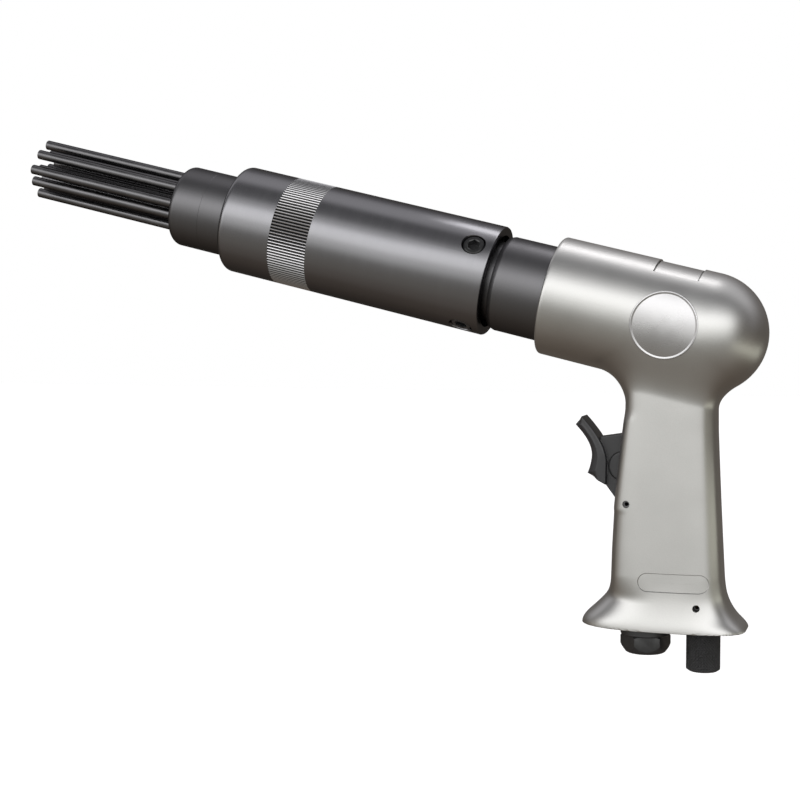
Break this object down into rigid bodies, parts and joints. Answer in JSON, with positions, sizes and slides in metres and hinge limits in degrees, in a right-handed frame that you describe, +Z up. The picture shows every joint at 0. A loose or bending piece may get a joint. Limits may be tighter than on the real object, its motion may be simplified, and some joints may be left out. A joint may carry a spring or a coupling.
{
  "type": "pneumatic needle scaler hammer",
  "caption": "Pistol-grip pneumatic hammer with a sleeved needle-scaler head: sprung trigger, throttle valve, regulator knob, sliding piston, anvil and loose needles.",
  "frame": {"origin": "on the grip's base face, on the mid-plane, halfway between the air inlet's axis and the regulator's axis", "axes": "+Z up the grip, -X towards the muzzle, which rises 13.5 degrees, -Y is the badge side"},
  "size_m": [0.2936, 0.0444, 0.2001],
  "materials": {
    "cast_aluminium": "satin, fine bead-blasted and lightly brushed casting",
    "blued_sleeve": "satin gunmetal, turned, with a fine ridged grip band",
    "dark_steel": "matte phosphated steel",
    "needle_steel": "dark drawn wire, cut square",
    "black_oxide": "black oxide, semi-matte",
    "knurled_black": "black with a fine diamond knurl",
    "trigger_black": "dark grey moulded composite",
    "bright_steel": "ground bright steel",
    "brass": "machined brass",
    "rubber": "nitrile rubber"
  },
  "bodies": {
    "frame": {"anvil_buffer": "rubber", "anvil_bush": "brass", "cylinder": "dark_steel", "housing": "cast_aluminium", "inlet_bushing": "black_oxide", "inlet_strainer": "brass", "needle_guide": "dark_steel", "nose_tube": "dark_steel", "regulator_pin": "black_oxide", "return_spring": "bright_steel", "set_screw_1": "black_oxide", "set_screw_2": "black_oxide", "set_screw_3": "black_oxide", "set_screw_4": "black_oxide", "shroud": "blued_sleeve", "shroud_o_ring": "rubber", "side_badge": "cast_aluminium", "throttle_bush": "brass", "throttle_o_ring": "rubber", "throttle_seat": "brass", "throttle_spring": "bright_steel", "trigger_pin": "bright_steel", "valve_chest": "dark_steel", "valve_dowel": "bright_steel", "valve_plate": "dark_steel"},
    "trigger": {"trigger": "trigger_black"},
    "throttle": {"throttle_stem": "bright_steel", "throttle_valve": "rubber"},
    "regulator": {"regulator_knob": "knurled_black", "regulator_spindle": "brass", "regulator_o_ring": "rubber"},
    "valve_disc": {"valve_disc": "bright_steel"},
    "piston": {"piston": "bright_steel"},
    "anvil": {"anvil": "bright_steel"},
    "needle_holder": {"needle_holder": "dark_steel"},
    "needle_01": {"needle_01": "needle_steel"},
    "needle_02": {"needle_02": "needle_steel"},
    "needle_03": {"needle_03": "needle_steel"},
    "needle_04": {"needle_04": "needle_steel"},
    "needle_05": {"needle_05": "needle_steel"},
    "needle_06": {"needle_06": "needle_steel"},
    "needle_07": {"needle_07": "needle_steel"},
    "needle_08": {"needle_08": "needle_steel"},
    "needle_09": {"needle_09": "needle_steel"},
    "needle_10": {"needle_10": "needle_steel"},
    "needle_11": {"needle_11": "needle_steel"},
    "needle_12": {"needle_12": "needle_steel"}
  },
  "joints": [
    {"name": "trigger_pull", "type": "hinge", "parent": "frame", "child": "trigger", "pos_m": [-0.016, 0, 0.0457], "axis": [0, 1, 0], "range_deg": [0, 10], "stiffness_Nm_per_rad": 1.5, "springref_deg": -8.59},
    {"name": "throttle_push", "type": "slide", "parent": "frame", "child": "throttle", "axis": [1, 0, 0], "range_m": [0, 0.0026], "deforming": ["throttle_spring"]},
    {"name": "regulator_turn", "type": "hinge", "parent": "frame", "child": "regulator", "pos_m": [0.0106, 0, 0], "axis": [0, 0, 1], "range_deg": [0, 180]},
    {"name": "valve_disc_shift", "type": "slide", "parent": "frame", "child": "valve_disc", "axis": [-0.9724, 0, 0.2334], "range_m": [0, 0.0011]},
    {"name": "piston_stroke", "type": "slide", "parent": "frame", "child": "piston", "axis": [-0.9724, 0, 0.2334], "range_m": [0, 0.041]},
    {"name": "anvil_stroke", "type": "slide", "parent": "frame", "child": "anvil", "axis": [-0.9724, 0, 0.2334], "range_m": [0, 0.003]},
    {"name": "holder_stroke", "type": "slide", "parent": "frame", "child": "needle_holder", "axis": [-0.9724, 0, 0.2334], "range_m": [0, 0.004], "stiffness_N_per_m": 2000, "springref_m": -0.005, "deforming": ["return_spring"]},
    {"name": "needle_01_recede", "type": "slide", "parent": "needle_holder", "child": "needle_01", "axis": [0.9724, 0, -0.2334], "range_m": [0, 0.004]},
    {"name": "needle_02_recede", "type": "slide", "parent": "needle_holder", "child": "needle_02", "axis": [0.9724, 0, -0.2334], "range_m": [0, 0.004]},
    {"name": "needle_03_recede", "type": "slide", "parent": "needle_holder", "child": "needle_03", "axis": [0.9724, 0, -0.2334], "range_m": [0, 0.004]},
    {"name": "needle_04_recede", "type": "slide", "parent": "needle_holder", "child": "needle_04", "axis": [0.9724, 0, -0.2334], "range_m": [0, 0.004]},
    {"name": "needle_05_recede", "type": "slide", "parent": "needle_holder", "child": "needle_05", "axis": [0.9724, 0, -0.2334], "range_m": [0, 0.004]},
    {"name": "needle_06_recede", "type": "slide", "parent": "needle_holder", "child": "needle_06", "axis": [0.9724, 0, -0.2334], "range_m": [0, 0.004]},
    {"name": "needle_07_recede", "type": "slide", "parent": "needle_holder", "child": "needle_07", "axis": [0.9724, 0, -0.2334], "range_m": [0, 0.004]},
    {"name": "needle_08_recede", "type": "slide", "parent": "needle_holder", "child": "needle_08", "axis": [0.9724, 0, -0.2334], "range_m": [0, 0.004]},
    {"name": "needle_09_recede", "type": "slide", "parent": "needle_holder", "child": "needle_09", "axis": [0.9724, 0, -0.2334], "range_m": [0, 0.004]},
    {"name": "needle_10_recede", "type": "slide", "parent": "needle_holder", "child": "needle_10", "axis": [0.9724, 0, -0.2334], "range_m": [0, 0.004]},
    {"name": "needle_11_recede", "type": "slide", "parent": "needle_holder", "child": "needle_11", "axis": [0.9724, 0, -0.2334], "range_m": [0, 0.004]},
    {"name": "needle_12_recede", "type": "slide", "parent": "needle_holder", "child": "needle_12", "axis": [0.9724, 0, -0.2334], "range_m": [0, 0.004]}
  ],
  "couplings": [
    {"joint": "throttle_push", "follows": "trigger_pull", "m_per_rad": 0.0142}
  ]
}
